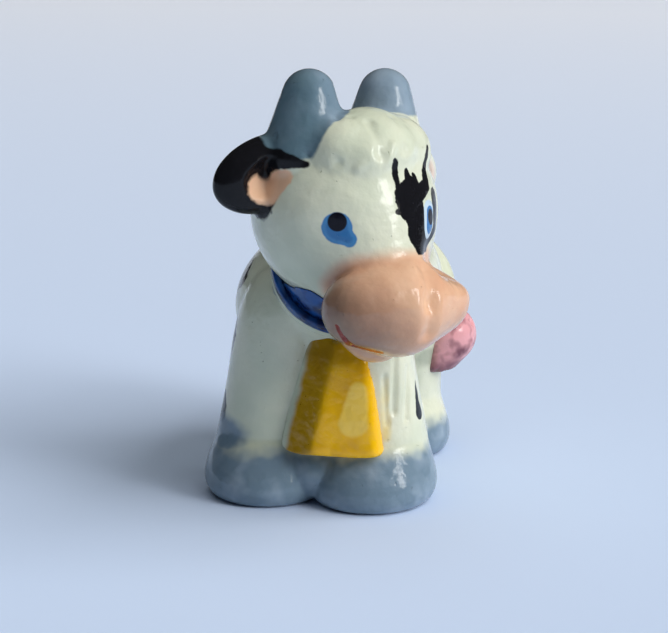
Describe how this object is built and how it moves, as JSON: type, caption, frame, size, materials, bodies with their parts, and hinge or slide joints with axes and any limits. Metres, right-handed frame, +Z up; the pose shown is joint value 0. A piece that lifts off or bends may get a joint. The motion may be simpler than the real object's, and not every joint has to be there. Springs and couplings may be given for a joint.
{
  "type": "cow figurine",
  "caption": "Small glazed standing cow ornament with its head turned to its left, a yellow bell on a blue collar, grey-blue horns and hooves, and its tail curled on to its haunch.",
  "frame": {"origin": "On the ground under the middle of the overall box.", "axes": "+Z up through the horns, -Y the way the body faces, +X the cow's left side."},
  "size_m": [0.023, 0.0352, 0.0369],
  "materials": {
    "white_glaze": "glossy",
    "grey_blue_glaze": "glossy",
    "black_glaze": "glossy",
    "peach_glaze": "glossy",
    "blue_glaze": "glossy",
    "yellow_glaze": "glossy",
    "pink_glaze": "glossy"
  },
  "bodies": {
    "root": {"bell": "yellow_glaze", "collar": "blue_glaze", "forelock": "white_glaze", "front_left_hoof": "grey_blue_glaze", "front_left_leg": "white_glaze", "front_right_hoof": "grey_blue_glaze", "front_right_leg": "white_glaze", "head": "white_glaze", "hind_left_hoof": "grey_blue_glaze", "hind_left_leg": "white_glaze", "hind_right_hoof": "grey_blue_glaze", "hind_right_leg": "white_glaze", "left_ear": "white_glaze", "left_horn": "grey_blue_glaze", "lower_lip": "peach_glaze", "muzzle": "peach_glaze", "right_ear": "black_glaze", "right_horn": "grey_blue_glaze", "tail": "white_glaze", "tail_tuft": "pink_glaze", "trunk": "white_glaze"}
  },
  "joints": []
}
